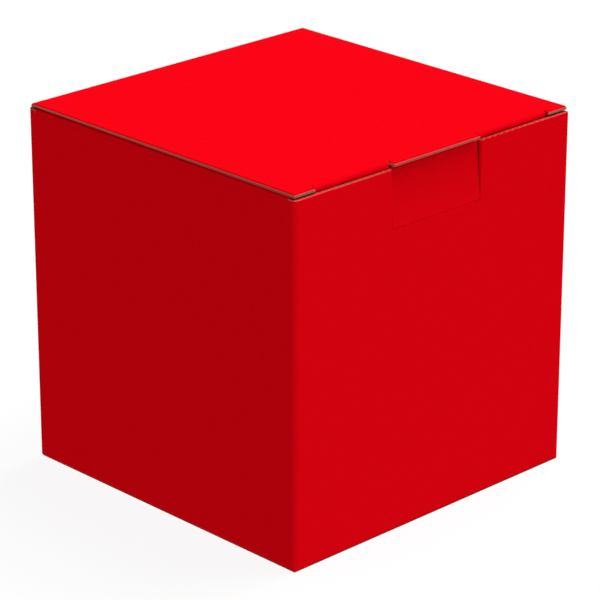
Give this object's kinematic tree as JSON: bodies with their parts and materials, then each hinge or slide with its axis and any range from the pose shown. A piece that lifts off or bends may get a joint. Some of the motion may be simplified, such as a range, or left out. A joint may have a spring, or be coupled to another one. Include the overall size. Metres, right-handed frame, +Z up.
{
  "type": "mailing box",
  "caption": "Square mailing box of corrugated board with a hinged tuck-in lid, dust flaps, a front lock tab and a self-locking bottom.",
  "frame": {"origin": "middle of the box's footprint, on the surface it stands on", "axes": "+X to the box's right as seen from its front, +Y to the back wall that carries the lid, +Z up"},
  "size_m": [0.15, 0.15, 0.1514],
  "materials": {
    "printed_board": "matte"
  },
  "bodies": {
    "carton": {"front_wall": "printed_board", "left_wall": "printed_board", "right_wall": "printed_board", "back_wall": "printed_board", "glue_flap": "printed_board", "bottom_slot_flap": "printed_board", "bottom_left_flap": "printed_board", "bottom_right_flap": "printed_board", "bottom_tongue_flap": "printed_board"},
    "lid": {"lid_panel": "printed_board"},
    "tuck": {"tuck_flap": "printed_board"},
    "lock_tab": {"front_lock_tab": "printed_board"},
    "left_dust": {"left_dust_flap": "printed_board"},
    "right_dust": {"right_dust_flap": "printed_board"}
  },
  "joints": [
    {"name": "lid_hinge", "type": "hinge", "parent": "carton", "child": "lid", "pos_m": [0, 0.07441, 0.15081], "axis": [-1, 0, 0], "range_deg": [0, 175]},
    {"name": "tuck_fold", "type": "hinge", "parent": "lid", "child": "tuck", "pos_m": [0, -0.0726, 0.1509], "axis": [-1, 0, 0], "range_deg": [0, 72.92]},
    {"name": "lock_tab_fold", "type": "hinge", "parent": "carton", "child": "lock_tab", "pos_m": [0, -0.075, 0.12525], "axis": [1, 0, 0], "range_deg": [0, 90]},
    {"name": "left_dust_fold", "type": "hinge", "parent": "carton", "child": "left_dust", "pos_m": [-0.07441, 0, 0.14891], "axis": [0, -1, 0], "range_deg": [0, 87.5]},
    {"name": "right_dust_fold", "type": "hinge", "parent": "carton", "child": "right_dust", "pos_m": [0.07441, 0, 0.14891], "axis": [0, 1, 0], "range_deg": [0, 87.5]}
  ],
  "couplings": [
    {"joint": "tuck_fold", "follows": "lid_hinge", "ratio": 0.41667},
    {"joint": "left_dust_fold", "follows": "lid_hinge", "ratio": 0.5},
    {"joint": "right_dust_fold", "follows": "lid_hinge", "ratio": 0.5}
  ]
}
